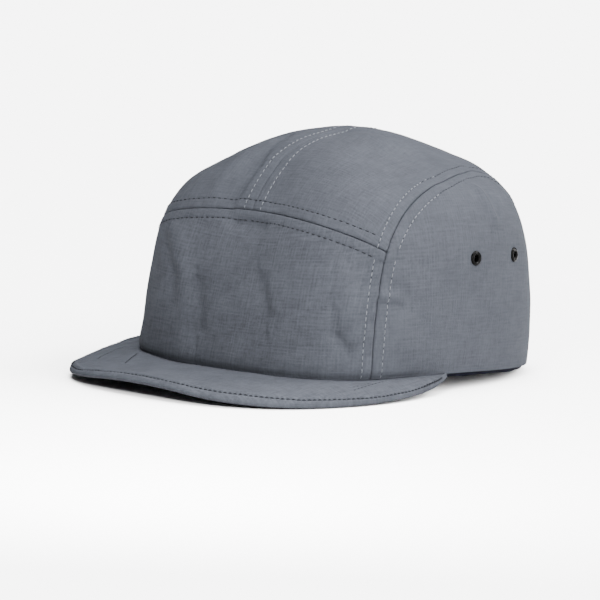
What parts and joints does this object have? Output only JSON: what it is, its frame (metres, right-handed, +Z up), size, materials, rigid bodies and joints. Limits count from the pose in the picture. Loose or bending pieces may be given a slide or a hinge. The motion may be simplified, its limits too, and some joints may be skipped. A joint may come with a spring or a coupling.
{
  "type": "five panel cap",
  "caption": "Soft cap with a tall front panel, two top panels, two wrap-round side panels with eyelets, a short flat peak, and an open back closed by a strap.",
  "frame": {"origin": "on the ground, below the middle of the cap's box", "axes": "+Z up, the peak points to -Y, the wearer's left is +X"},
  "size_m": [0.1842, 0.245, 0.123],
  "materials": {
    "shell": "matte woven",
    "peak": "matte woven",
    "sweatband": "matte",
    "eyelet": "gloss",
    "strap": "matte woven",
    "buckle": "satin"
  },
  "bodies": {
    "root": {"front_panel": "shell", "top_panel_left": "shell", "top_panel_right": "shell", "side_panel_left": "shell", "side_panel_right": "shell", "peak": "peak", "sweatband": "sweatband", "eyelet_left_front": "eyelet", "eyelet_left_rear": "eyelet", "eyelet_right_front": "eyelet", "eyelet_right_rear": "eyelet", "back_strap": "strap", "strap_buckle": "buckle"}
  },
  "joints": []
}
